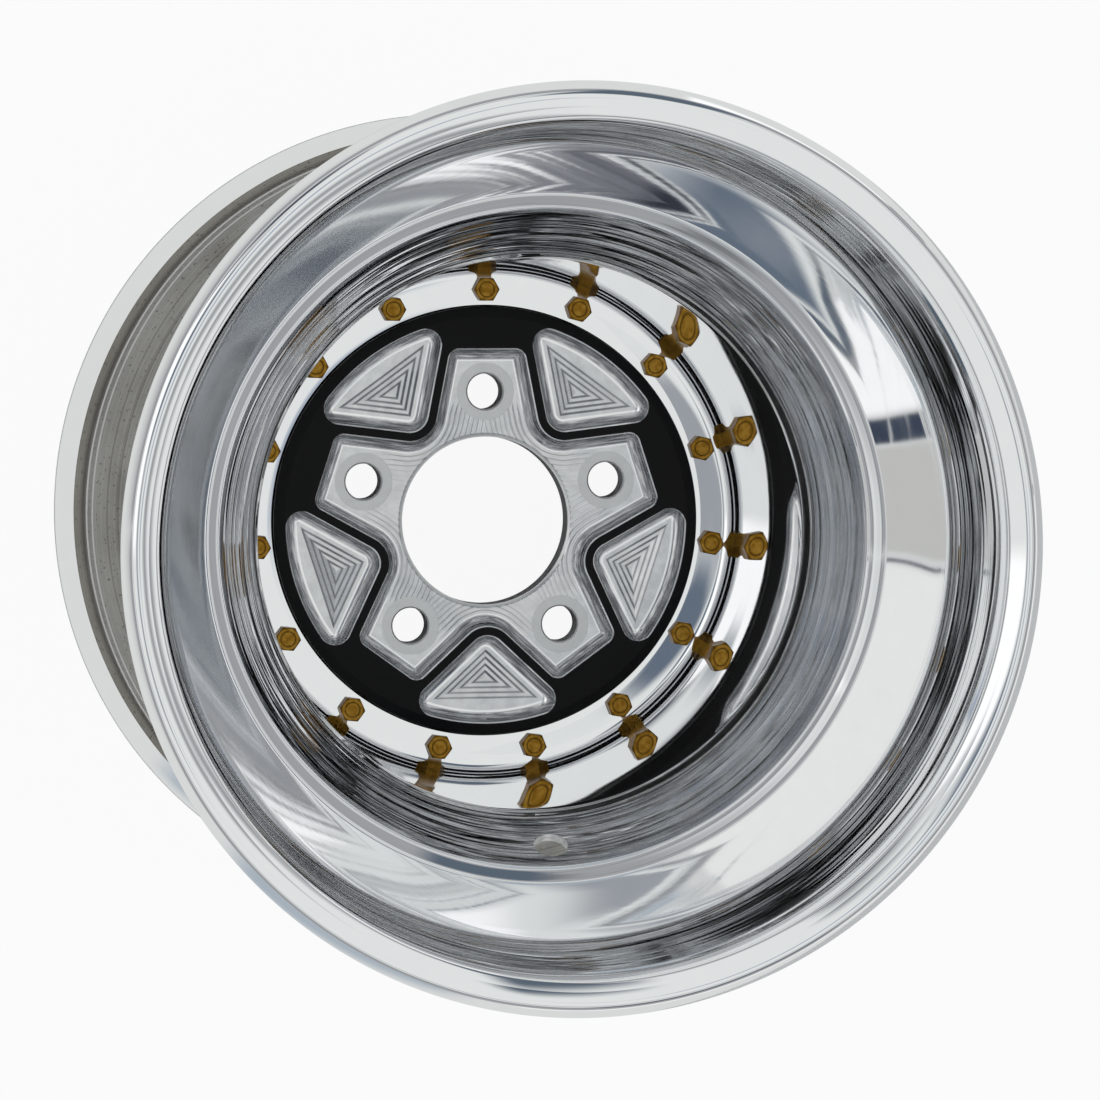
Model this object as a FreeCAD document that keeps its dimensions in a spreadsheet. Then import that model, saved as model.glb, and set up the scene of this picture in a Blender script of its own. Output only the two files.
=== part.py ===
import FreeCAD
import Part
import Sketcher
import os
import re

# Drag racing wheel: a spun and welded aluminium rim with a deep outer dish, and a milled
# billet centre that a ring of hex bolts holds behind the flange at the bottom of the dish.
# The origin is the middle of the hub mounting face. +Z runs along the axle, out of the dish.

# Driving sizes in millimetres and degrees
SIZES = {
    # rim: 14 inches wide between its flanges, on a 15 inch bead seat
    "rim_width": 355.6,
    "backspace": 101.6,
    "bead_radius": 190.1,
    "bead_taper": 1.8,
    "bead_seat_width": 21.5,
    "bead_wall": 6.0,
    "flange_width": 17.5,
    "flange_height": 13.1,
    "lip_edge": 5.5,
    "lip_round": 6.4,
    "mouth_depth": 8.0,
    "shell_wall": 4.5,
    # dish: a steep wall under the mouth, then two cones down to a straight well
    "upper_cone_depth": 71.0,
    "upper_cone_drop": 2.6,
    "lower_cone_depth": 100.0,
    "lower_cone_rise": 30.0,
    "throat_depth": 137.0,
    "flange_land": 21.1,
    "flange_wall": 5.0,
    "weld_rise": 5.0,
    "valve_hole_radius": 7.95,
    "valve_angle": 271.5,
    # billet centre
    "centre_flange_wall": 10.0,
    "disc_height": 10.6,
    "disc_radius": 105.2,
    "disc_bevel": 5.0,
    "disc_bevel_drop": 1.5,
    "pilot_gap": 0.2,
    "hub_bore_radius": 41.3,
    "lug_count": 5,
    "lug_circle": 127.0,
    "lug_hole_radius": 8.75,
    "lug_land": 12.45,
    # star recess round the lug holes, and the pockets between its arms
    "star_depth": 6.3,
    "arm_corner": 5.5,
    "web": 4.0,
    "pocket_depth": 6.1,
    "pocket_angle": 94.0,
    "pocket_nose_land": 14.7,
    "pocket_nose_round": 9.5,
    "pocket_corner": 8.0,
    "step_count": 3,
    "step_inset": 8.0,
    "step_over": 2.4,
    "step_down": 0.6,
    # bolts on the dish flange
    "bolt_count": 15,
    "bolt_inset": 8.1,
    "bolt_edge": 7.5,
    "bolt_head_flats": 11.1,
    "bolt_head_height": 4.5,
}

# Sizes that follow from the driving ones
DERIVED = {
    "rear": "-backspace",
    "front": "rim_width + 2 * flange_width - backspace",
    "flange_radius": "bead_radius + flange_height",
    "lip_crest": "flange_radius - lip_round",
    "mouth_radius": "bead_radius - bead_wall",
    "seat_end_radius": "bead_radius - bead_taper",
    "seat_end_depth": "flange_width + bead_seat_width",
    "flange_back": "centre_flange_wall",
    "flange_front": "flange_back + flange_wall",
    "pilot_radius": "disc_radius + pilot_gap",
    "well_radius": "pilot_radius + flange_land",
    "well_outer": "well_radius + shell_wall",
    "throat_height": "front - throat_depth",
    "lower_cone_radius": "well_radius + lower_cone_rise",
    "lower_cone_height": "front - lower_cone_depth",
    "upper_cone_radius": "mouth_radius - upper_cone_drop",
    "slope_angle": "atan((lower_cone_height - throat_height) / lower_cone_rise)",
    "valve_radius": "(well_radius + lower_cone_radius + shell_wall) / 2",
    "valve_height": "(throat_height + lower_cone_height - shell_wall / 2) / 2",
    "bolt_ring_radius": "pilot_radius + bolt_inset",
    "centre_flange_radius": "bolt_ring_radius + bolt_edge",
    "face_height": "centre_flange_wall + disc_height",
    "star_floor": "face_height - star_depth",
    "lug_ring_radius": "lug_circle / 2",
    "arm_reach": "lug_ring_radius + lug_hole_radius + lug_land",
    "half_pitch": "180 / lug_count",
    "half_angle": "pocket_angle / 2",
    "flare": "half_angle - half_pitch",
    "nose_middle": "hub_bore_radius + pocket_nose_land + pocket_nose_round",
    "valley_round": "pocket_nose_round + web",
    "pocket_rim": "disc_radius - disc_bevel",
    "nose_excess": "pocket_nose_round - pocket_corner",
    "corner_reach": "sqrt((pocket_rim - pocket_corner)^2 - (nose_middle * sin(half_angle) - nose_excess)^2)",
    "corner_run": "corner_reach - nose_middle * cos(half_angle)",
    "corner_across": "nose_excess * cos(half_angle) + corner_run * sin(half_angle)",
    "corner_along": "nose_middle - nose_excess * sin(half_angle) + corner_run * cos(half_angle)",
}

NAME = re.compile(r"[a-z]\w+")

doc = FreeCAD.newDocument("drag_wheel")
sheet = doc.addObject("Spreadsheet::Sheet", "sizes")
for row, (alias, value) in enumerate([*SIZES.items(), *DERIVED.items()], start=1):
    sheet.set("A%d" % row, alias)
    sheet.set("B%d" % row, "=" + value if isinstance(value, str) else str(value))
    sheet.setAlias("B%d" % row, alias)
doc.recompute()


def bound(formula):
    """A formula on the sheet's names, in the form that other objects take."""

    def refer(match):
        name = match.group()
        return "sizes." + name if name in SIZES or name in DERIVED else name

    return NAME.sub(refer, formula)


def number(formula):
    return float(sheet.evalExpression(formula))


def vector(place):
    return FreeCAD.Vector(number(place[0]), number(place[1]), 0)


def mirrored(place):
    return ("-(%s)" % place[0], place[1])


def origin_feature(body, role):
    return next(feature for feature in body.Origin.OriginFeatures if feature.Role == role)


def new_body(name):
    body = doc.addObject("PartDesign::Body", name)
    body.Label = name
    return body


def new_sketch(body, name, role, height=None):
    sketch = body.newObject("Sketcher::SketchObject", name)
    sketch.AttachmentSupport = [(origin_feature(body, role), "")]
    sketch.MapMode = "FlatFace"
    if height:
        sketch.setExpression("AttachmentOffset.Base.z", bound(height))
    return sketch


def hold(sketch, constraint, formula):
    index = sketch.addConstraint(constraint)
    sketch.setExpression("Constraints[%d]" % index, bound(formula))


def hold_point(sketch, geometry, point, place):
    """Ties a point of a line, arc or circle to a place given by two formulas."""
    for axis, formula in zip("XY", place):
        distance = Sketcher.Constraint("Distance" + axis, -1, 1, geometry, point, number(formula))
        hold(sketch, distance, formula)


def hold_radius(sketch, geometry, formula):
    hold(sketch, Sketcher.Constraint("Radius", geometry, number(formula)), formula)


def draw_outline(sketch, steps):
    """A closed outline of straight edges and arcs. A step is a corner for a straight edge,
    or a corner with the middle and radius of the arc that leaves it. A place is two formulas."""
    corners = [vector(step[0]) for step in steps]
    followers = corners[1:] + corners[:1]
    for step, start, finish in zip(steps, corners, followers):
        if len(step) == 1:
            sketch.addGeometry(Part.LineSegment(start, finish))
            continue
        middle = vector(step[1])
        outward = (start + finish) * 0.5 - middle
        crown = middle + outward * (number(step[2]) / outward.Length)
        sketch.addGeometry(Part.Arc(start, crown, finish))
    for index, step in enumerate(steps):
        ends = [sketch.getPoint(index, end).distanceToPoint(corners[index]) for end in (1, 2)]
        turned = ends[0] > ends[1]
        hold_point(sketch, index, 2 if turned else 1, step[0])
        hold_point(sketch, index, 1 if turned else 2, steps[(index + 1) % len(steps)][0])
        if len(step) > 1:
            hold_radius(sketch, index, step[2])
    doc.recompute()


def draw_circle(sketch, place, radius):
    index = sketch.addGeometry(Part.Circle(vector(place), FreeCAD.Vector(0, 0, 1), number(radius)))
    hold_point(sketch, index, 3, place)
    hold_radius(sketch, index, radius)
    doc.recompute()


def turn(body, name, corners):
    """A solid turned on the axle from a section of straight edges, each corner a radius and a height."""
    sketch = new_sketch(body, name + "_section", "XZ_Plane")
    draw_outline(sketch, [(corner,) for corner in corners])
    solid = body.newObject("PartDesign::Revolution", name)
    solid.Profile = sketch
    solid.ReferenceAxis = (sketch, ["V_Axis"])
    solid.Angle = 360
    doc.recompute()


def test_cut(body, name, before):
    doc.recompute()
    if not body.Shape.Volume < before:
        raise RuntimeError(name + " cuts nothing")


def cut(body, name, sketch, depth=None):
    """A pocket down from its sketch, right through where no depth is given."""
    before = body.Shape.Volume
    pocket = body.newObject("PartDesign::Pocket", name)
    pocket.Profile = sketch
    if depth:
        pocket.setExpression("Length", bound(depth))
    else:
        pocket.Type = "ThroughAll"
    test_cut(body, name, before)
    return pocket


def repeat(body, name, features, count):
    """The features repeated round the axle."""
    pattern = body.newObject("PartDesign::PolarPattern", name)
    pattern.Originals = features
    pattern.Axis = (origin_feature(body, "Z_Axis"), [""])
    pattern.Angle = 360
    pattern.setExpression("Occurrences", bound(count))
    body.Tip = pattern
    doc.recompute()


def lip(edge, towards_middle):
    """The section of a lip from the mouth over the crest to the inner end of the bead seat."""
    places = [
        ("mouth_radius", "mouth_depth"),
        ("lip_crest", "0"),
        ("flange_radius", "lip_edge"),
        ("bead_radius", "flange_width"),
        ("seat_end_radius", "seat_end_depth"),
    ]
    return [(radius, "%s %s %s" % (edge, towards_middle, depth)) for radius, depth in places]


def make_rim():
    body = new_body("rim")
    dish = [
        ("pilot_radius", "flange_front"),
        ("well_radius", "flange_front"),
        ("well_radius", "throat_height"),
        ("lower_cone_radius", "lower_cone_height"),
        ("upper_cone_radius", "front - upper_cone_depth"),
    ]
    tyre_side = [
        ("upper_cone_radius + bead_wall", "front - upper_cone_depth"),
        ("lower_cone_radius + shell_wall", "lower_cone_height - shell_wall / 2"),
        ("well_outer", "throat_height - shell_wall / 2"),
        ("well_outer", "flange_front + weld_rise"),
    ]
    brake_side = [
        ("mouth_radius", "rear + seat_end_depth - shell_wall / 2"),
        ("well_outer", "flange_back"),
        ("pilot_radius", "flange_back"),
    ]
    rear_lip = lip("rear", "+")[::-1]
    turn(body, "rim_shell", [*dish, *lip("front", "-"), *tyre_side, *rear_lip, *brake_side])
    add_valve_hole(body)
    return body


def add_valve_hole(body):
    """A round hole square to the slope between the well and the lower cone."""
    sketch = new_sketch(body, "valve_hole_section", "XZ_Plane")
    sketch.AttachmentOffset = FreeCAD.Placement(
        FreeCAD.Vector(), FreeCAD.Rotation(FreeCAD.Vector(0, 1, 0), number("valve_angle"))
    )
    sketch.setExpression("AttachmentOffset.Rotation.Angle", bound("valve_angle"))

    def place(along, across):
        return (
            "valve_radius + %s * cos(slope_angle) - %s * sin(slope_angle)" % (along, across),
            "valve_height + %s * sin(slope_angle) + %s * cos(slope_angle)" % (along, across),
        )

    reach = "2 * shell_wall"
    bottom = place("0", "-" + reach)
    top = place("0", reach)
    outer_top = place("valve_hole_radius", reach)
    outer_bottom = place("valve_hole_radius", "-" + reach)
    draw_outline(sketch, [(bottom,), (top,), (outer_top,), (outer_bottom,)])
    before = body.Shape.Volume
    hole = body.newObject("PartDesign::Groove", "valve_hole")
    hole.Profile = sketch
    hole.ReferenceAxis = (sketch, ["Edge1"])
    hole.Angle = 360
    test_cut(body, "valve_hole", before)


def make_centre():
    body = new_body("wheel_centre")
    turn(
        body,
        "billet",
        [
            ("hub_bore_radius", "0"),
            ("centre_flange_radius", "0"),
            ("centre_flange_radius", "flange_back"),
            ("disc_radius", "flange_back"),
            ("disc_radius", "face_height - disc_bevel_drop"),
            ("disc_radius - disc_bevel", "face_height"),
            ("hub_bore_radius", "face_height"),
        ],
    )
    add_star(body)
    add_pockets(body)
    add_lug_holes(body)
    return body


def add_star(body):
    """One arm of the star recess with its share of the floor round the hub, repeated."""
    valley_middle = ("nose_middle * sin(half_pitch)", "nose_middle * cos(half_pitch)")

    def beside_web(gap):
        return (
            "%s - (%s) * cos(flare)" % (valley_middle[0], gap),
            "%s - (%s) * sin(flare)" % (valley_middle[1], gap),
        )

    valley = (
        "(nose_middle - valley_round) * sin(half_pitch)",
        "(nose_middle - valley_round) * cos(half_pitch)",
    )
    foot = beside_web("valley_round")
    inset = beside_web("valley_round + arm_corner")
    corner_height = "arm_reach - arm_corner"
    corner = ("%s - tan(flare) * (%s - (%s))" % (inset[0], corner_height, inset[1]), corner_height)
    shoulder = ("%s + arm_corner * cos(flare)" % corner[0], "%s + arm_corner * sin(flare)" % corner[1])
    tip = (corner[0], "arm_reach")
    sketch = new_sketch(body, "star_arm_outline", "XY_Plane", "face_height")
    draw_outline(
        sketch,
        [
            (("0", "0"),),
            (valley, valley_middle, "valley_round"),
            (foot,),
            (shoulder, corner, "arm_corner"),
            (tip,),
            (mirrored(tip), mirrored(corner), "arm_corner"),
            (mirrored(shoulder),),
            (mirrored(foot), mirrored(valley_middle), "valley_round"),
            (mirrored(valley),),
        ],
    )
    arm = cut(body, "star_arm", sketch, "star_depth")
    repeat(body, "star_recess", [arm], "lug_count")


def add_pockets(body):
    """A triangular pocket below the hub with rounded corners and milled steps in its floor, repeated."""
    nose = ("0", "-nose_middle")
    nose_side = (
        "pocket_nose_round * cos(half_angle)",
        "-(nose_middle - pocket_nose_round * sin(half_angle))",
    )
    corner = ("corner_across", "-corner_along")
    side_end = (
        "corner_across + pocket_corner * cos(half_angle)",
        "-(corner_along - pocket_corner * sin(half_angle))",
    )
    rim_share = "pocket_rim / (pocket_rim - pocket_corner)"
    rim_end = ("corner_across * " + rim_share, "-corner_along * " + rim_share)
    sketch = new_sketch(body, "pocket_outline", "XY_Plane", "face_height")
    draw_outline(
        sketch,
        [
            (mirrored(nose_side), nose, "pocket_nose_round"),
            (nose_side,),
            (side_end, corner, "pocket_corner"),
            (rim_end, ("0", "0"), "pocket_rim"),
            (mirrored(rim_end), mirrored(corner), "pocket_corner"),
            (mirrored(side_end),),
        ],
    )
    features = [cut(body, "pocket", sketch, "pocket_depth")]
    for step in range(int(number("step_count"))):
        features.append(add_pocket_step(body, step))
    repeat(body, "pockets", features, "lug_count")


def add_pocket_step(body, step):
    """A sharp triangle, a little smaller and deeper than the step before it."""
    inset = "(step_inset + %d * step_over)" % step
    tip = "(nose_middle - (pocket_nose_round - %s) / sin(half_angle))" % inset
    base = "(corner_along + pocket_corner - %s)" % inset
    half_base = "(%s - %s) * tan(half_angle)" % (base, tip)
    floor = "face_height - pocket_depth - %d * step_down" % step
    sketch = new_sketch(body, "pocket_step_%d_outline" % (step + 1), "XY_Plane", floor)
    left = ("-" + half_base, "-" + base)
    right = (half_base, "-" + base)
    draw_outline(sketch, [(("0", "-" + tip),), (right,), (left,)])
    return cut(body, "pocket_step_%d" % (step + 1), sketch, "step_down")


def add_lug_holes(body):
    sketch = new_sketch(body, "lug_hole_place", "XY_Plane", "star_floor")
    draw_circle(sketch, ("0", "lug_ring_radius"), "lug_hole_radius")
    hole = cut(body, "lug_hole", sketch)
    repeat(body, "lug_holes", [hole], "lug_count")


def make_bolts():
    """The hex heads of the bolts, seated on the dish flange."""
    body = new_body("assembly_bolts")
    body.AllowCompound = True
    sketch = new_sketch(body, "bolt_head_outline", "XY_Plane", "flange_front")
    corner_radius = "bolt_head_flats / sqrt(3)"
    hexagon = []
    for side in range(6):
        across = "%s * sin(60 * %d)" % (corner_radius, side)
        along = "bolt_ring_radius + %s * cos(60 * %d)" % (corner_radius, side)
        hexagon.append(((across, along),))
    draw_outline(sketch, hexagon)
    head = body.newObject("PartDesign::Pad", "bolt_head")
    head.Profile = sketch
    head.setExpression("Length", bound("bolt_head_height"))
    doc.recompute()
    repeat(body, "bolt_ring", [head], "bolt_count")
    return body


def check(parts):
    for thing in doc.Objects:
        if {"Invalid", "Error"} & set(thing.State):
            raise RuntimeError("%s failed: %s" % (thing.Name, thing.State))
    for part in parts:
        if part.Shape.isNull() or not part.Shape.isValid():
            raise RuntimeError(part.Label + " has no valid shape")


parts = [make_rim(), make_centre(), make_bolts()]
doc.recompute()
check(parts)
os.makedirs("parts", exist_ok=True)
for part in parts:
    part.Shape.exportStep("parts/%s.step" % part.Label)
    print(part.Label, len(part.Shape.Solids), "solids", round(part.Shape.Volume / 1000, 1), "cm3")
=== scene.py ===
"""The looks of a deep-dish drag racing wheel: its rim, billet centre and bolts, on a pale floor."""

import math

import bmesh
import bpy
from mathutils import Matrix, Vector


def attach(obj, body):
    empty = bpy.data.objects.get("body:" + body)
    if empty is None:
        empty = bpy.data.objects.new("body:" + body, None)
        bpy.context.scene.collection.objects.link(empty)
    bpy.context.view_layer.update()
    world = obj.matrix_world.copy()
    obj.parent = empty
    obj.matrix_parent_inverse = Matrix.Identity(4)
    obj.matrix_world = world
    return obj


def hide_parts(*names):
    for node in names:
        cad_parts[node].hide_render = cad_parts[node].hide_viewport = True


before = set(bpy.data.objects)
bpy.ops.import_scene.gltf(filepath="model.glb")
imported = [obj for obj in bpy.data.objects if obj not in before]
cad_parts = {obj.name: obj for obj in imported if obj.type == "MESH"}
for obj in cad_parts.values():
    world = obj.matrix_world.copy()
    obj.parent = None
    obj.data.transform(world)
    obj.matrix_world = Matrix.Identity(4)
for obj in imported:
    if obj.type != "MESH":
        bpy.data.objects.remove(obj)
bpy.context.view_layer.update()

MM = 0.001
AXLE = (0, 0, 1)
FULL_TURN = 2 * math.pi
QUARTER_TURN = math.pi / 2

# What counts as one point, one point of a loose outline and one level, in millimetres
SAME_POINT = 0.002
SAME_OUTLINE_POINT = 0.01
SAME_LEVEL = 0.001
CRISP_EDGE = math.radians(32)

# Rim sections in millimetres: radius, height over the hub face, and the rounding of that corner
DISH_SECTION = [
    (105.4, 10.0, 0),
    (105.4, 15.0, 0.7),
    (124.9, 15.0, 6),
    (128.2, 150.0, 22),
    (150.5, 185.5, 8),
    (156.5, 189.0, 10),
    (181.8, 218.0, 14),
    (184.4, 281.0, 3),
    (187.4, 286.2, 2.5),
    (191.5, 287.4, 5),
    (197.4, 289.4, 5.5),
    (203.2, 284.5, 0),
]
BARREL_SECTION = [
    (203.2, 284.5, 0),
    (203.2, 282.4, 1.2),
    (190.1, 271.5, 5),
    (188.3, 250.0, 8),
    (187.5, 218.0, 12),
    (159.4, 187.9, 60),
    (132.2, 150.6, 26),
    (131.0, 26.0, 1),
    (132.9, 23.4, 1.8),
    (135.0, 18.6, 1.8),
    (135.2, 14.0, 1),
    (186.8, -62.6, 4),
    (188.2, -72.6, 0.8),
    (188.9, -73.6, 0.8),
    (190.1, -84.1, 3),
    (194.0, -87.35, 0),
]
REAR_LIP_SECTION = [
    (194.0, -87.35, 0),
    (203.2, -95.0, 1.2),
    (203.2, -97.1, 1.2),
    (197.4, -102.0, 5.5),
    (191.5, -100.0, 5),
    (187.4, -98.8, 2.5),
    (184.1, -93.6, 0),
]
BRAKE_SIDE_SECTION = [
    (184.1, -93.6, 0),
    (184.1, -64.8, 14),
    (131.0, 10.0, 5),
    (105.4, 10.0, 0),
]
ROUNDING_STEPS = 6
RIM_STEPS = 288
SHEET_SPACING = 6.0
HOLE_STEPS = 48
VALVE_HOLE = {
    "radius": 7.95,
    "angle": 271.5,
    "out": 142.6,
    "height": 170.5,
    "slope": 53.0,
    "drill": 24.0,
}

# Bands of the rim's finish in millimetres: heights from and to, and the radius of the bead seat
SLOPE_BAND = (152.0, 186.5)
# Slope band where dark marks are painted on the polish as painted reflection
PAINTED_REFLECTION_BAND = (154.0, 186.0)
WALL_BAND = (221.0, 277.0)
WELD_TOP = 26.0
SEAT_RADIUS = 185.0
RIDGE_BAND = (-63.4, -61.8)
KNURL_BAND = (-72.2, -64.0)
SEAT_EDGE_BAND = (-74.0, -72.6)
STAINED_SEAT = (-72.5, -74.5)
KNURL_TEETH = 230.0
KNURL_DEPTH = 0.25

# Billet centre in millimetres
FACE_HEIGHT = 20.6
STAR_FLOOR = 14.3
SPOT_FACE = STAR_FLOOR - 0.35
BACK_SECTION = [
    (120.4, 0.0, 0),
    (121.0, 0.6, 0),
    (121.0, 10.0, 0),
    (105.2, 10.0, 0),
    (105.2, 18.9, 0.8),
    (100.2, FACE_HEIGHT, 0),
]
BORE_SECTION = [
    (43.3, STAR_FLOOR, 0),
    (41.3, STAR_FLOOR - 0.8, 0),
    (41.3, 0.8, 0),
    (42.1, 0.0, 0),
]
LUG_SECTION = [
    (14.2, STAR_FLOOR, 0),
    (14.2, SPOT_FACE, 0),
    (9.5, SPOT_FACE, 0),
    (8.75, STAR_FLOOR - 1.1, 0),
    (8.75, 0.8, 0),
    (9.4, 0.0, 0),
]
LUGS = 5
LUG_CIRCLE = 63.5
HALF_PITCH = math.radians(36)
HALF_ANGLE = math.radians(47)
NOSE_MIDDLE = 65.5
VALLEY_ROUND = 13.5
VALLEY_STEPS = 12
ARM_REACH = 84.7
ARM_CORNER = 5.8
ARM_CORNER_STEPS = 10
POCKET_NOSE = 9.5
POCKET_CORNER = 8.0
POCKET_CORNER_STEPS = 14
POCKET_RIM = 99.6
POCKET_LONG_STEPS = 16
EDGE_CHAMFER = 0.7
COVE = 5.6
COVE_STEPS = 9
POCKET_STEPS = {
    "inset": 7.9,
    "over": 2.5,
    "wall": 1.2,
    "down": 0.7,
    "rise": 0.14,
    "count": 4,
}
CUTTER_STEP = 2.4
SCALLOP_DEPTH = 0.16

# Bolts in millimetres; each is turned further than the one before it
BOLTS = 15
BOLT_RING = 113.5
BOLT_SEAT = 15.0
BOLT_FLATS = 11.1
BOLT_HEIGHT = 4.5
BOLT_CROWN = BOLT_FLATS / 2 * 0.94
BOLT_CHAMFER = math.radians(30)
BOLT_SIDE_CUTS = 7
BOLT_TURN = 0.61
BOLT_CRISP_EDGE = math.radians(24)

# Rings of a bolt's top: share of its crown, and depth
BOLT_RINGS = [(1.0, 0.0), (0.72, 0.0), (0.64, 0.35)]

# Places of the finishes in their pieces
POLISHED, SPUN = 0, 1
BLACK, MILLED = 0, 1

# Colours of the finishes; a pair is what a finish varies between
POLISH = (0.89, 0.895, 0.905, 1), (0.92, 0.925, 0.93, 1)
# Dark grey painted on the polished slope as painted reflection
POLISH_PAINTED_REFLECTION = (0.34, 0.345, 0.37, 1)
REAR_SHEET = (0.25, 0.237, 0.215, 1), (0.52, 0.505, 0.475, 1)
FRONT_SHEET = (0.5, 0.5, 0.5, 1), (0.78, 0.78, 0.775, 1)
TOOL_LINE = (0.24, 0.235, 0.225, 1)
SPECK = (0.09, 0.08, 0.065, 1)
SEAT_STAIN = (0.17, 0.155, 0.13, 1)
# Near white painted along the seat's step and the ridge as painted highlights
SEAT_EDGE_HIGHLIGHT = (0.93, 0.915, 0.89, 1)
SATIN_BLACK = (0.003, 0.003, 0.0038, 1), (0.005, 0.005, 0.006, 1)
BRIGHT_CUT = (0.5, 0.505, 0.51, 1), (0.78, 0.785, 0.79, 1)
# Dark grey painted in patches on the coved walls as painted shade
WALL_PAINTED_SHADE = (0.3, 0.305, 0.315, 1)
# Near white painted on the recess edges and the cove's foot as painted highlights
CUT_EDGE_HIGHLIGHT = (0.97, 0.97, 0.97, 1)
# Dark grey painted along the cutter ridges as painted shade
CUTTER_RIDGE_SHADE = (0.2, 0.2, 0.21, 1)
# Dark grey painted on the pocket step walls as painted shade
STEP_WALL_SHADE = (0.24, 0.245, 0.255, 1)
SPOT_FACED = (0.6, 0.605, 0.6, 1)
# Near white painted on the bore and lug-hole walls as painted highlight
BORE_HIGHLIGHT = (0.9, 0.9, 0.9, 1)
GOLD = (0.24, 0.115, 0.012, 1), (0.4, 0.22, 0.034, 1)
# Dark brown painted on the heads' sides and top ring as painted shade
GOLD_PAINTED_SHADE = (0.1, 0.05, 0.008, 1)
FLOOR_PAINT = (0.9, 0.9, 0.9, 1)
WHITE = (1, 1, 1, 1)

# What is the same all over a finish
METAL = {"Metallic": 1.0}
BLACK_COAT = {"Metallic": 0.0, "Specular IOR Level": 0.14}

# Camera at the photograph's place, for a square picture
CAMERA_PLACE = (-0.37177, 0.11270, 2.18928)
CAMERA_RIGHT = (0.983177, 0.000397, 0.182656)
CAMERA_UP = (0.010121, 0.998343, -0.056652)
CAMERA_LENS = 147.04
SENSOR_WIDTH = 36
BOUNCES = 14

# Floor in metres, and how much of its white is its own to the eye
FLOOR_HEIGHT = -0.1016
FLOOR_REACH = 30
FLOOR_WHITENESS = 0.93

# A tent for light: its colours, low and high, and the elevations in degrees between them
TENT = (0.74, 0.75, 0.74, 1), (0.8, 0.82, 0.81, 1)
TENT_RISE = (22.0, 46.0)

# Gaps and brighter panels in the tent: azimuth, elevation and softness in degrees, and colour
TENT_GAPS = [
    ((-180, 180), (20, 44), 4.0, (0.36, 0.37, 0.385, 1)),
    ((39, 66), (8, 17), 1.0, (1.1, 1.1, 1.1, 1)),
    ((32, 38), (9, 16), 0.6, (0.05, 0.065, 0.1, 1)),
    ((5, 31), (8, 17), 0.6, (0.6, 0.6, 0.58, 1)),
    ((2, 3.2), (9, 16), 0.3, (0.16, 0.17, 0.2, 1)),
    ((-88, 1.5), (8, 17), 1.5, (0.92, 0.93, 0.91, 1)),
    ((-130, -96), (8, 20), 4.0, (0.42, 0.48, 0.54, 1)),
    ((-75, -48), (33, 44), 2.0, (0.14, 0.15, 0.18, 1)),
    ((-180, 180), (50, 53), 1.5, (0.34, 0.35, 0.36, 1)),
    ((-180, 180), (36, 38), 1.0, (0.2, 0.21, 0.22, 1)),
    ((104, 150), (52, 69), 4.0, (0.2, 0.21, 0.235, 1)),
    ((110, 124), (58, 66), 3.0, (0.04, 0.045, 0.065, 1)),
    ((55, 76), (28, 62), 3.0, (0.11, 0.14, 0.18, 1)),
]

# The same overhead: x, y and softness of a direction of length 1, and colour
OVERHEAD_GAPS = [
    ((-0.6, -0.25), (-0.05, 0.35), 0.02, (1.1, 1.1, 1.1, 1)),
    ((-0.235, -0.03), (0.01, 0.2), 0.05, (0.14, 0.175, 0.23, 1)),
    ((-0.2, -0.02), (-0.2, 0.0), 0.03, (0.36, 0.38, 0.41, 1)),
    ((0.2, 0.34), (-0.2, -0.05), 0.02, (0.4, 0.45, 0.53, 1)),
]


class Channel:
    """An output of a node. Arithmetic on it adds Math nodes to its tree."""

    def __init__(self, tree, socket):
        self.tree = tree
        self.socket = socket

    def other(self, output):
        """Another output of the same node."""
        return Channel(self.tree, self.socket.node.outputs[output])

    def math(self, operation, *values):
        """A Math node that takes this output first."""
        return self.tree.math(operation, self, *values)

    def __add__(self, value):
        return self.math("ADD", value)

    __radd__ = __add__

    def __sub__(self, value):
        return self.math("SUBTRACT", value)

    def __rsub__(self, value):
        return self.tree.math("SUBTRACT", value, self)

    def __mul__(self, value):
        return self.math("MULTIPLY", value)

    __rmul__ = __mul__

    def __truediv__(self, value):
        return self.math("DIVIDE", value)

    def __rtruediv__(self, value):
        return self.tree.math("DIVIDE", value, self)

    def __pow__(self, value):
        return self.math("POWER", value)

    def __abs__(self):
        return self.math("ABSOLUTE")

    def __gt__(self, value):
        return self.math("GREATER_THAN", value)

    def __lt__(self, value):
        return self.math("LESS_THAN", value)


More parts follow.
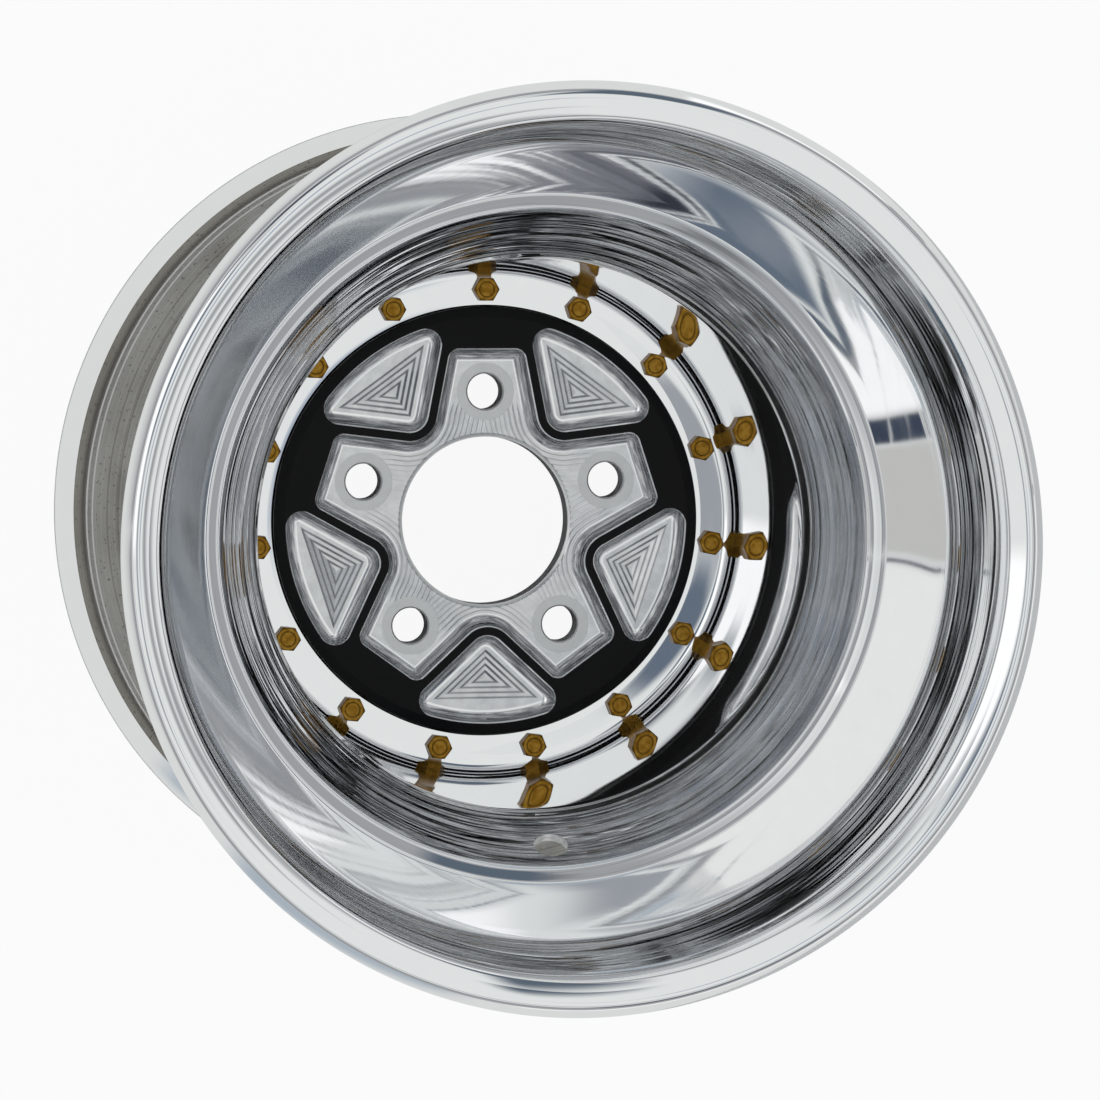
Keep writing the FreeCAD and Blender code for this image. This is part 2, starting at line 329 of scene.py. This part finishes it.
class Tree:
    """A node tree of a material or the world, filled by one method."""

    def __init__(self, owner):
        owner.use_nodes = True
        self.owner = owner
        self.nodes = owner.node_tree.nodes
        self.links = owner.node_tree.links
        self.nodes.clear()

    def add(self, kind, settings=None, sockets=None, output=0):
        """Adds a node, sets it, fills its sockets with values or links, and gives one output."""
        node = self.nodes.new("ShaderNode" + kind)
        for name, value in (settings or {}).items():
            setattr(node, name, value)
        for name, value in (sockets or {}).items():
            if isinstance(value, Channel):
                self.links.new(value.socket, node.inputs[name])
            else:
                node.inputs[name].default_value = value
        return Channel(self, node.outputs[output] if node.outputs else None)

    def math(self, operation, *values):
        return self.add("Math", {"operation": operation}, dict(enumerate(values)))

    def smooth(self, value, low, high):
        """0 at low and before it, 1 at high and past it, and an S-curve between them."""
        sockets = {"Value": value, "From Min": low, "From Max": high}
        return self.add("MapRange", {"interpolation_type": "SMOOTHSTEP"}, sockets)

    def window(self, value, low, high, soft):
        """1 between two values, fading to 0 past them."""
        rise = self.smooth(value, low - soft, low + soft)
        return rise * self.smooth(value, high + soft, high - soft)

    def blend(self, factor, first, second):
        """One colour fading into another."""
        return self.add("Mix", {"data_type": "RGBA"}, {0: factor, 6: first, 7: second}, 2)

    def blend_value(self, factor, first, second):
        """One number fading into another."""
        return self.add("Mix", None, {0: factor, 2: first, 3: second})

    def layer(self, colour, layers):
        """Lays more colours over one in turn, each as far as its mask says."""
        for mask, shade in layers:
            colour = self.blend(mask, colour, shade)
        return colour

    def noise(self, spot, scale, detail):
        return self.add("TexNoise", None, {"Vector": spot, "Scale": scale, "Detail": detail})

    def vector(self, x, y, z):
        return self.add("CombineXYZ", None, {0: x, 1: y, 2: z})

    def bump(self, height):
        """A normal from a height in millimetres."""
        return self.add("Bump", None, {"Height": height, "Strength": 1.0, "Distance": MM})


def new_finish(name):
    return Tree(bpy.data.materials.new(name))


def surface(tree, colour, roughness, height, constants):
    """Ends a finish with its shader, and gives the material."""
    sockets = {"Base Color": colour, "Roughness": roughness, "Normal": tree.bump(height)}
    shader = tree.add("BsdfPrincipled", None, {**sockets, **constants})
    tree.add("OutputMaterial", None, {"Surface": shader})
    return tree.owner


def distance(along, across):
    return (along * along + across * across) ** 0.5


def spot_in_mm(tree):
    """Object coordinates in millimetres: the spot, its x, y and z, and its radius from the axle."""
    metres = tree.add("TexCoord", None, None, "Object")
    spot = tree.add("VectorMath", {"operation": "SCALE"}, {0: metres, "Scale": 1 / MM})
    x = tree.add("SeparateXYZ", None, {0: spot})
    y, z = x.other(1), x.other(2)
    return spot, x, y, z, distance(x, y)


def polished_aluminium():
    """Mirror polish over spun sheet: fine rings, a slow swell, and furrows on slope and wall, with
    dark marks painted along the slope's furrows as painted reflection.
    """
    tree = new_finish("polished_aluminium")
    spot, x, y, z, radius = spot_in_mm(tree)
    section = tree.vector(radius, z, 0.0)
    rings = tree.noise(section, 0.9, 1.0)
    furrows = tree.noise(section, 0.2, 1.0)
    waves = tree.noise(tree.vector(x.math("ARCTAN2", y) * 3.0, z * 0.05, 0.0), 1.0, 0.0)
    swell = tree.noise(spot, 0.022, 0.0)
    haze = tree.noise(spot, 0.09, 1.0)
    rolled = 2.6 * tree.window(z, *SLOPE_BAND, 2.5) + tree.window(z, *WALL_BAND, 4.0)
    # Dark marks along the slope's furrows: painted reflection on the mirror polish
    painted_dark_streaks = tree.smooth(furrows + waves * 0.3, 0.62, 0.82) * tree.window(z, *PAINTED_REFLECTION_BAND, 3.0)
    colour = tree.layer(tree.blend(haze, *POLISH), [(0.6 * painted_dark_streaks, POLISH_PAINTED_REFLECTION)])
    roughness = 0.02 + 0.05 * rings * haze
    uneven = (furrows * 0.1 + waves * 0.12) * rolled
    height = rings * (0.0012 + 0.004 * rolled) + uneven + swell * 0.2
    return surface(tree, colour, roughness, height, METAL)


def spun_aluminium():
    """Sheet as it left the spinning tool: grey and a little brown, with rings and specks, and
    painted highlights along the seat's step and the ridge above the knurl.
    """
    tree = new_finish("spun_aluminium")
    spot, x, y, z, radius = spot_in_mm(tree)
    section = tree.vector(radius, z, 0.0)
    rings = tree.noise(section, 0.45, 3.0)
    tool_lines = tree.noise(section, 2.4, 1.0)
    smears = tree.noise(spot, 0.03, 4.0)
    front = tree.smooth(z, WELD_TOP - 2.0, WELD_TOP + 2.0)
    specks = tree.smooth(tree.noise(spot, 0.55, 2.0), 0.62, 0.72) * (1.0 - 0.8 * front)
    outside = radius > SEAT_RADIUS
    # Painted highlights: thin bright bands on the seat's step and on the ridge, outside only
    painted_highlights = (tree.window(z, *SEAT_EDGE_BAND, 0.3) + tree.window(z, *RIDGE_BAND, 0.4)) * outside
    rear_sheet = tree.blend(tree.smooth(rings + smears * 0.5, 0.5, 0.95), *REAR_SHEET)
    front_sheet = tree.blend(tree.smooth(rings, 0.3, 0.7), *FRONT_SHEET)
    layers = [
        (0.5 * tree.smooth(tool_lines, 0.45, 0.75), TOOL_LINE),
        (0.6 * specks, SPECK),
        (0.5 * tree.smooth(z, *STAINED_SEAT) * outside, SEAT_STAIN),
        (0.85 * painted_highlights, SEAT_EDGE_HIGHLIGHT),
    ]
    colour = tree.layer(tree.blend(front, rear_sheet, front_sheet), layers)
    roughness = 0.24 - 0.08 * front + 0.16 * rings + 0.2 * specks
    teeth = (y.math("ARCTAN2", x) * KNURL_TEETH).math("SINE")
    knurl = tree.window(z, *KNURL_BAND, 0.25) * outside * teeth
    height = rings * 0.05 + tool_lines * 0.012 - specks * 0.02 + knurl * KNURL_DEPTH
    return surface(tree, colour, roughness, height, METAL)


def black_face():
    """Satin black over a turned face."""
    tree = new_finish("black_face")
    spot, _, _, z, radius = spot_in_mm(tree)
    turning = tree.noise(tree.vector(radius, z, 0.0), 1.6, 3.0)
    colour = tree.blend(tree.noise(spot, 0.05, 3.0), *SATIN_BLACK)
    return surface(tree, colour, 0.32 + 0.12 * turning, turning * 0.004, BLACK_COAT)


def from_wedge(angle, radius):
    """Distance out of the wedge that a pocket and the star's valley are both set off from."""
    turn = (angle - HALF_PITCH).math("WRAP", HALF_PITCH, -HALF_PITCH)
    beyond = radius * turn.math("COSINE") - NOSE_MIDDLE
    across = abs(radius * turn.math("SINE"))
    from_side = across * math.cos(HALF_ANGLE) - beyond * math.sin(HALF_ANGLE)
    beside = beyond * math.cos(HALF_ANGLE) + across * math.sin(HALF_ANGLE) > 0.0
    return from_side * beside + distance(beyond, across) * (1.0 - beside)


def milled_aluminium():
    """Bright milled metal: cutter scallops on the star's floor and lines round the walls; painted
    shade on coves, cutter ridges and step walls, painted highlights on edges and bores.
    """
    tree = new_finish("milled_aluminium")
    spot, x, y, z, radius = spot_in_mm(tree)
    angle = x.math("ARCTAN2", y)
    outward = from_wedge(angle, radius)
    in_star = outward > VALLEY_ROUND - 1.0

    arm_turn = angle.math("WRAP", HALF_PITCH, -HALF_PITCH)
    to_arm_end = ARM_REACH - radius * arm_turn.math("COSINE")
    star_inset = to_arm_end.math("MINIMUM", outward - VALLEY_ROUND)
    pocket_inset = (POCKET_RIM - radius).math("MINIMUM", POCKET_NOSE - outward)
    inset = tree.blend_value(in_star, pocket_inset, star_inset)
    # Masks: edge and foot take painted highlights, wall takes painted shade
    edge = tree.smooth(inset, 0.9, 0.3)
    wall = tree.window(inset, 0.6, 4.9, 0.4)
    foot = tree.window(inset, 5.2, 6.2, 0.4)
    painted_dark_streaks = tree.noise(tree.vector(inset * 0.9, angle * 9.0, 0.0), 1.0, 2.0)

    wander = tree.noise(spot, 0.12, 2.0)
    off_pass = ((outward + wander * 0.7) / CUTTER_STEP).math("FRACT") * 2.0 - 1.0
    on_floor = in_star * tree.smooth(abs(z - STAR_FLOOR), 0.25, 0.1)
    scallop = on_floor * tree.smooth(radius, 64.0, 53.0)
    ridge = scallop * tree.smooth(outward, 31.0, 23.0) * tree.smooth(abs(off_pass), 0.5, 0.96)
    spot_face = in_star * tree.window(z, SPOT_FACE - 0.07, SPOT_FACE + 0.07, 0.03)
    bored = in_star * tree.smooth(z, SPOT_FACE - 0.05, SPOT_FACE - 0.35)

    steps_down = (FACE_HEIGHT - COVE - z) / (POCKET_STEPS["down"] - POCKET_STEPS["rise"])
    below_floor = tree.smooth(steps_down, 0.1, 0.3) * (1.0 - in_star)
    step_wall = tree.window(steps_down.math("FRACT"), 0.38, 0.85, 0.12) * below_floor

    grain = tree.noise(spot, 1.3, 3.0)
    lines = tree.noise(tree.vector(0.0, 0.0, z), 2.4, 2.0)
    stains = tree.noise(spot, 0.16, 3.0)
    layers = [
        # Painted shade in patches on the coved walls
        (wall * tree.smooth(painted_dark_streaks, 0.35, 0.65), WALL_PAINTED_SHADE),
        # Painted highlights on the top edge and the foot of each cove
        ((foot + edge).math("MINIMUM", 1.0) * 0.85, CUT_EDGE_HIGHLIGHT),
        # Painted shade along the cutter ridges, patchy with the stains noise
        (ridge * 0.55 * (0.4 + stains), CUTTER_RIDGE_SHADE),
        # Painted shade on the walls of the pocket steps
        (step_wall * 0.6, STEP_WALL_SHADE),
        (spot_face * 0.7, SPOT_FACED),
        # Painted highlight on the bored walls, which are also rougher
        (bored * 0.8, BORE_HIGHLIGHT),
    ]
    colour = tree.layer(tree.blend(stains, *BRIGHT_CUT), layers)
    roughness = 0.1 + 0.12 * grain + 0.16 * spot_face + 0.3 * bored
    height = scallop * off_pass ** 2.0 * SCALLOP_DEPTH + grain * 0.008 + lines * 0.006
    return surface(tree, colour, roughness, height, METAL)


def gold_plating():
    """Gold-coloured zinc on steel, rubbed and uneven in patches, with shade painted on the ring in
    each top and down the sides of each head.
    """
    tree = new_finish("gold_plating")
    spot, x, y, _, radius = spot_in_mm(tree)
    turn = x.math("ARCTAN2", y).math("WRAP", math.pi / BOLTS, -math.pi / BOLTS)
    from_middle = distance(radius * turn.math("COSINE") - BOLT_RING, radius * turn.math("SINE"))
    # Painted shade: the ring step in each top, and the chamfer and sides of each head
    painted_shade = tree.window(from_middle, 3.3, 4.1, 0.4) + tree.smooth(from_middle, 4.9, 5.6)
    patches = tree.smooth(tree.noise(spot, 0.35, 4.0), 0.3, 0.7)
    grain = tree.noise(spot, 2.2, 3.0)
    colour = tree.layer(tree.blend(patches, *GOLD), [(painted_shade * 0.6, GOLD_PAINTED_SHADE)])
    return surface(tree, colour, 0.26 + 0.2 * grain, grain * 0.035, METAL)


def to_mesh(bm, name):
    """Ends a bmesh in a new mesh."""
    mesh = bpy.data.meshes.new(name)
    bm.to_mesh(mesh)
    bm.free()
    return mesh


def to_object(bm, name):
    """Ends a bmesh in a new object of the scene."""
    made = bpy.data.objects.new(name, to_mesh(bm, name))
    bpy.context.scene.collection.objects.link(made)
    return made


def move_into(bm, mesh):
    """Adds a mesh to a bmesh and removes it."""
    bm.from_mesh(mesh)
    bpy.data.meshes.remove(mesh)


def points_of(parts):
    """The vertices of edges or faces, each once."""
    return list(dict.fromkeys(vert for part in parts for vert in part.verts))


def loose_edges(bm):
    return [edge for edge in bm.edges if edge.is_wire]


def shade_edges(bm, crisp):
    """Shades every edge smooth that bends less than an angle."""
    for edge in bm.edges:
        edge.smooth = len(edge.link_faces) == 2 and edge.calc_face_angle() < crisp


def place_round(number, count):
    """The angle of one of some places spread round the axle, counted from +Y."""
    return QUARTER_TURN + FULL_TURN * number / count


def round_corner(bm, corner, radius):
    """Rounds a corner between two edges of a wire."""
    sides = [edge.other_vert(corner).co - corner.co for edge in corner.link_edges]
    bmesh.ops.bevel(
        bm,
        geom=[corner],
        affect="VERTICES",
        offset=radius * MM / math.tan(sides[0].angle(sides[1]) / 2),
        offset_type="OFFSET",
        segments=ROUNDING_STEPS,
        profile=0.5,
        material=-1,
    )


def turn_sheet(bm, section, steps, finish, middle=(0, 0), spacing=None):
    """Turns a section on an upright axis, gives it a finish and adds it to a piece."""
    sheet = bmesh.new()
    corners = [
        sheet.verts.new(((middle[0] + radius) * MM, middle[1] * MM, height * MM))
        for radius, height, _ in section
    ]
    for pair in zip(corners, corners[1:]):
        sheet.edges.new(pair)
    for corner, (_, _, rounding) in zip(corners, section):
        if rounding:
            round_corner(sheet, corner, rounding)
    if spacing:
        for edge in sheet.edges[:]:
            cuts = int(edge.calc_length() / (spacing * MM))
            bmesh.ops.subdivide_edges(sheet, edges=[edge], cuts=cuts)
    bmesh.ops.spin(
        sheet,
        geom=[*sheet.verts, *sheet.edges],
        cent=(middle[0] * MM, middle[1] * MM, 0),
        axis=AXLE,
        angle=FULL_TURN,
        steps=steps,
        use_merge=True,
    )
    for face in sheet.faces:
        face.material_index = finish
        face.smooth = True
    move_into(bm, to_mesh(sheet, "turned_sheet"))


def sweep_arc(bm, middle, radius, start, turn, steps):
    """An arc of edges at the face's height. Gives its first and last vertex."""
    first = bm.verts.new((
        (middle[0] + radius * math.cos(start)) * MM,
        (middle[1] + radius * math.sin(start)) * MM,
        FACE_HEIGHT * MM,
    ))
    centre = (middle[0] * MM, middle[1] * MM, FACE_HEIGHT * MM)
    swept = bmesh.ops.spin(bm, geom=[first], cent=centre, axis=AXLE, angle=turn, steps=steps)
    last = next(part for part in swept["geom_last"] if isinstance(part, bmesh.types.BMVert))
    return first, last


def join_arcs(bm, arcs):
    """Straight edges from the end of each arc to the start of the next."""
    for (_, last), (first, _) in zip(arcs, arcs[1:]):
        bm.edges.new((last, first))


def repeat_round(bm, parts):
    """Copies parts to the other lugs' places."""
    bmesh.ops.spin(
        bm,
        geom=parts,
        cent=(0, 0, 0),
        axis=AXLE,
        angle=FULL_TURN * (LUGS - 1) / LUGS,
        steps=LUGS - 1,
        use_duplicate=True,
    )


def inset_step(bm, floor, inward, down):
    """Draws a face in from its edges and lowers it."""
    bmesh.ops.inset_region(
        bm,
        faces=[floor],
        thickness=inward * MM,
        depth=-down * MM,
        use_even_offset=True,
        use_boundary=True,
    )


def cove(bm, floor):
    """Sinks a flat face under a chamfer and a hollow quarter-round wall."""
    inset_step(bm, floor, EDGE_CHAMFER, EDGE_CHAMFER)
    hollow = COVE - EDGE_CHAMFER
    places = [QUARTER_TURN * step / COVE_STEPS for step in range(COVE_STEPS + 1)]
    for low, high in zip(places, places[1:]):
        inward = hollow * (math.cos(low) - math.cos(high))
        down = hollow * (math.sin(high) - math.sin(low))
        inset_step(bm, floor, inward, down)


def recess(bm, depth):
    """A recess with a coved wall under the loose outline. Its floor is left open."""
    old = set(bm.faces)
    points = points_of(loose_edges(bm))
    bmesh.ops.remove_doubles(bm, verts=points, dist=SAME_OUTLINE_POINT * MM)
    floor = bmesh.ops.contextual_create(bm, geom=loose_edges(bm))["faces"][0]
    floor.normal_update()
    if floor.normal.z < 0:
        floor.normal_flip()
    cove(bm, floor)
    for vert in floor.verts:
        vert.co.z = depth * MM
    for face in set(bm.faces) - old:
        face.material_index = MILLED
        face.smooth = True
    bmesh.ops.delete(bm, geom=[floor], context="FACES_ONLY")


def fill_flat(bm, height, finish):
    """Fills what is open at one height with flat faces, round the loops in it."""
    edges = [
        edge
        for edge in bm.edges
        if len(edge.link_faces) < 2
        and all(abs(vert.co.z - height * MM) < SAME_LEVEL * MM for vert in edge.verts)
    ]
    made = bmesh.ops.triangle_fill(bm, use_beauty=True, edges=edges, normal=AXLE)
    for part in made["geom"]:
        if isinstance(part, bmesh.types.BMFace):
            part.material_index = finish
            part.smooth = False


def finish_piece(bm, name, finishes, node, crisp=CRISP_EDGE):
    """Closes the mesh, shades it and puts it in the node's place."""
    bmesh.ops.remove_doubles(bm, verts=bm.verts, dist=SAME_POINT * MM)
    bmesh.ops.recalc_face_normals(bm, faces=bm.faces)
    shade_edges(bm, crisp)
    piece = to_object(bm, name)
    for finish in finishes:
        piece.data.materials.append(finish)
    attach(piece, "root")
    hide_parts(node)
    return piece


def make_rim(polished, spun):
    """The welded rim, turned from its sections, with the valve hole through its slope."""
    bm = bmesh.new()
    sheets = [
        (DISH_SECTION, POLISHED),
        (BARREL_SECTION, SPUN),
        (REAR_LIP_SECTION, POLISHED),
        (BRAKE_SIDE_SECTION, SPUN),
    ]
    for section, finish in sheets:
        turn_sheet(bm, section, RIM_STEPS, finish, spacing=SHEET_SPACING)
    rim = finish_piece(bm, "rim_shell", [polished, spun], "rim")
    drill_valve_hole(rim)


def drill_valve_hole(rim):
    """Cuts the valve hole square to the slope."""
    lean = Matrix.Rotation(-math.radians(VALVE_HOLE["slope"]), 4, "Y")
    aim = Matrix.Rotation(math.radians(VALVE_HOLE["angle"]), 4, "Z")
    place = Matrix.Translation((VALVE_HOLE["out"] * MM, 0, VALVE_HOLE["height"] * MM))
    bm = bmesh.new()
    bmesh.ops.create_cone(
        bm,
        cap_ends=True,
        segments=HOLE_STEPS,
        radius1=VALVE_HOLE["radius"] * MM,
        radius2=VALVE_HOLE["radius"] * MM,
        depth=VALVE_HOLE["drill"] * MM,
        matrix=aim @ place @ lean,
    )
    for face in bm.faces:
        face.material_index = SPUN
    drill = to_object(bm, "valve_drill")
    cut = rim.modifiers.new("valve_hole", "BOOLEAN")
    cut.operation = "DIFFERENCE"
    cut.object = drill
    bpy.context.view_layer.update()
    cut_rim = rim.evaluated_get(bpy.context.evaluated_depsgraph_get())
    drilled = bpy.data.meshes.new_from_object(cut_rim)
    rim.modifiers.remove(cut)
    rim.data = drilled
    bpy.data.objects.remove(drill)
    bm = bmesh.new()
    bm.from_mesh(drilled)
    shade_edges(bm, CRISP_EDGE)
    bm.to_mesh(drilled)
    bm.free()


def make_centre(black, milled):
    """The billet centre: turned body, star recess with spot-faced lug holes, stepped pockets."""
    bm = bmesh.new()
    turn_sheet(bm, BACK_SECTION, RIM_STEPS, BLACK)
    turn_sheet(bm, BORE_SECTION, RIM_STEPS, MILLED)
    for lug in range(LUGS):
        turn = place_round(lug, LUGS)
        place = (LUG_CIRCLE * math.cos(turn), LUG_CIRCLE * math.sin(turn))
        turn_sheet(bm, LUG_SECTION, HOLE_STEPS, MILLED, middle=place)
    sink_pockets(bm)
    sink_star(bm)
    fill_flat(bm, FACE_HEIGHT, BLACK)
    fill_flat(bm, STAR_FLOOR, MILLED)
    fill_flat(bm, 0.0, MILLED)
    finish_piece(bm, "milled_centre", [black, milled], "wheel_centre")


def sink_star(bm):
    """The star recess: five arms with rounded valleys between them."""
    flare = HALF_ANGLE - HALF_PITCH
    valley = (NOSE_MIDDLE * math.sin(HALF_PITCH), NOSE_MIDDLE * math.cos(HALF_PITCH))
    inset = VALLEY_ROUND + ARM_CORNER
    corner_height = ARM_REACH - ARM_CORNER
    rise = corner_height - (valley[1] - inset * math.sin(flare))
    corner = (valley[0] - inset * math.cos(flare) - rise * math.tan(flare), corner_height)
    far_corner, far_valley = (-corner[0], corner[1]), (-valley[0], valley[1])
    valley_start = 3 * QUARTER_TURN - HALF_PITCH
    valley_turn = HALF_ANGLE - QUARTER_TURN
    tip_turn = QUARTER_TURN - flare
    arcs = [
        sweep_arc(bm, valley, VALLEY_ROUND, valley_start, valley_turn, VALLEY_STEPS),
        sweep_arc(bm, corner, ARM_CORNER, flare, tip_turn, ARM_CORNER_STEPS),
        sweep_arc(bm, far_corner, ARM_CORNER, QUARTER_TURN, tip_turn, ARM_CORNER_STEPS),
        sweep_arc(bm, far_valley, VALLEY_ROUND, -flare, valley_turn, VALLEY_STEPS),
    ]
    join_arcs(bm, arcs)
    arm = loose_edges(bm)
    repeat_round(bm, [*points_of(arm), *arm])
    recess(bm, STAR_FLOOR)


def sink_pockets(bm):
    """The five triangular pockets, each with nested milled steps in its floor."""
    old = set(bm.faces)
    sine, cosine = math.sin(HALF_ANGLE), math.cos(HALF_ANGLE)
    excess = POCKET_NOSE - POCKET_CORNER
    reach = POCKET_RIM - POCKET_CORNER
    run = math.sqrt(reach ** 2 - (NOSE_MIDDLE * sine - excess) ** 2) - NOSE_MIDDLE * cosine
    across = excess * cosine + run * sine
    along = NOSE_MIDDLE - excess * sine + run * cosine
    lean = math.atan2(across, along)
    rim_start = 3 * QUARTER_TURN - lean
    corner_turn = QUARTER_TURN + HALF_ANGLE - lean
    corner = (POCKET_CORNER, math.pi - HALF_ANGLE, corner_turn, POCKET_CORNER_STEPS)
    far_corner = (POCKET_CORNER, rim_start + 2 * lean, corner_turn, POCKET_CORNER_STEPS)
    nose = (POCKET_NOSE, HALF_ANGLE, math.pi - 2 * HALF_ANGLE, POCKET_LONG_STEPS)
    arcs = [
        sweep_arc(bm, (0, -NOSE_MIDDLE), *nose),
        sweep_arc(bm, (-across, -along), *corner),
        sweep_arc(bm, (0, 0), POCKET_RIM, rim_start, 2 * lean, POCKET_LONG_STEPS),
        sweep_arc(bm, (across, -along), *far_corner),
    ]
    join_arcs(bm, [*arcs, arcs[0]])
    floor_height = FACE_HEIGHT - COVE
    recess(bm, floor_height)
    mill_steps(bm, along, floor_height)
    made = [face for face in bm.faces if face not in old]
    for face in made:
        face.material_index = MILLED
    edges = dict.fromkeys(edge for face in made for edge in face.edges)
    repeat_round(bm, [*points_of(made), *edges, *made])


def mill_steps(bm, corner_along, floor_height):
    """A pocket's floor, with triangular steps milled into it."""
    inset = POCKET_STEPS["inset"]
    tip = NOSE_MIDDLE - (POCKET_NOSE - inset) / math.sin(HALF_ANGLE)
    base = corner_along + POCKET_CORNER - inset
    half_base = (base - tip) * math.tan(HALF_ANGLE)
    corners = [(0, -tip), (-half_base, -base), (half_base, -base)]
    step = bm.faces.new([bm.verts.new((x * MM, y * MM, floor_height * MM)) for x, y in corners])
    fill_flat(bm, floor_height, MILLED)
    for _ in range(POCKET_STEPS["count"]):
        step.normal_update()
        inset_step(bm, step, POCKET_STEPS["wall"], POCKET_STEPS["down"])
        inset_step(bm, step, POCKET_STEPS["over"] - POCKET_STEPS["wall"], -POCKET_STEPS["rise"])


def make_bolts(gold):
    """The hex heads, each with its own turn."""
    head = bolt_head()
    bm = bmesh.new()
    for bolt in range(BOLTS):
        turn = place_round(bolt, BOLTS)
        place = Vector((BOLT_RING * math.cos(turn), BOLT_RING * math.sin(turn), BOLT_SEAT)) * MM
        own_turn = Matrix.Rotation(turn + BOLT_TURN * bolt, 4, "Z")
        placed = head.copy()
        placed.transform(Matrix.Translation(place) @ own_turn)
        move_into(bm, placed)
    bpy.data.meshes.remove(head)
    finish_piece(bm, "bolt_heads", [gold], "assembly_bolts", crisp=BOLT_CRISP_EDGE)


def bolt_head():
    """A hexagon drawn up from its seat, chamfered over its corners, with a shallow dished top."""
    bm = bmesh.new()
    bmesh.ops.create_circle(bm, cap_ends=True, segments=6, radius=BOLT_FLATS / math.sqrt(3) * MM)
    bmesh.ops.subdivide_edges(bm, edges=bm.edges, cuts=BOLT_SIDE_CUTS)
    drawn = bmesh.ops.extrude_face_region(bm, geom=bm.faces[:], use_keep_orig=True)["geom"]
    top = next(part for part in drawn if isinstance(part, bmesh.types.BMFace))
    for vert in top.verts:
        overhang = vert.co.to_2d().length / MM - BOLT_CROWN
        vert.co.z = (BOLT_HEIGHT - overhang * math.tan(BOLT_CHAMFER)) * MM
    for share, depth in BOLT_RINGS:
        bmesh.ops.inset_region(bm, faces=[top], thickness=0.1 * MM, use_boundary=True)
        for vert in top.verts:
            spot = vert.co.to_2d().normalized() * BOLT_CROWN * share * MM
            vert.co = (spot.x, spot.y, (BOLT_HEIGHT - depth) * MM)
    for face in bm.faces:
        face.smooth = True
    return to_mesh(bm, "bolt_head")


def make_floor():
    """A wide pale floor that stays white to the eye and keeps a soft shadow."""
    tree = new_finish("pale_floor")
    to_camera = tree.add("LightPath", None, None, "Is Camera Ray")
    paint = tree.add("BsdfDiffuse", None, {"Color": FLOOR_PAINT})
    glow = tree.add("Emission", None, {"Color": WHITE, "Strength": 1.0})
    mixed = tree.add("MixShader", None, {0: to_camera * FLOOR_WHITENESS, 1: paint, 2: glow})
    tree.add("OutputMaterial", None, {"Surface": mixed})
    bm = bmesh.new()
    place = Matrix.Translation((0, 0, FLOOR_HEIGHT))
    bmesh.ops.create_grid(bm, x_segments=1, y_segments=1, size=FLOOR_REACH, matrix=place)
    floor = to_object(bm, "floor")
    floor.data.materials.append(tree.owner)


def light_studio():
    """A white tent with grey gaps for the polished metal to mirror, plain white to the eye."""
    world = bpy.data.worlds.new("studio")
    bpy.context.scene.world = world
    world.cycles.sampling_method = "NONE"
    tree = Tree(world)
    x = tree.add("SeparateXYZ", None, {0: tree.add("TexCoord", None, None, "Generated")})
    y, z = x.other(1), x.other(2)
    azimuth = y.math("ARCTAN2", x).math("DEGREES")
    elevation = z.math("ARCSINE").math("DEGREES")
    layers = [
        (tree.window(azimuth, *around, soft) * tree.window(elevation, *above, soft), shade)
        for around, above, soft, shade in TENT_GAPS
    ]
    layers += [
        (tree.window(x, *across, soft) * tree.window(y, *along, soft) * (z > 0.0), shade)
        for across, along, soft, shade in OVERHEAD_GAPS
    ]
    layers.append((tree.add("LightPath", None, None, "Is Camera Ray"), WHITE))
    colour = tree.layer(tree.blend(tree.smooth(elevation, *TENT_RISE), *TENT), layers)
    glow = tree.add("Background", None, {"Color": colour, "Strength": 1.0})
    tree.add("OutputWorld", None, {"Surface": glow})


def place_camera():
    """The camera, turned by its own right and up."""
    data = bpy.data.cameras.new("camera")
    data.lens = CAMERA_LENS
    data.sensor_width = SENSOR_WIDTH
    camera = bpy.data.objects.new("camera", data)
    right, up = Vector(CAMERA_RIGHT), Vector(CAMERA_UP)
    turn = Matrix((right, up, right.cross(up))).transposed().to_4x4()
    camera.matrix_world = Matrix.Translation(CAMERA_PLACE) @ turn
    bpy.context.scene.collection.objects.link(camera)
    bpy.context.scene.camera = camera


make_rim(polished_aluminium(), spun_aluminium())
make_centre(black_face(), milled_aluminium())
make_bolts(gold_plating())
make_floor()
light_studio()
place_camera()
bpy.context.scene.view_settings.view_transform = "Standard"
bpy.context.scene.cycles.max_bounces = BOUNCES
bpy.context.scene.cycles.glossy_bounces = BOUNCES
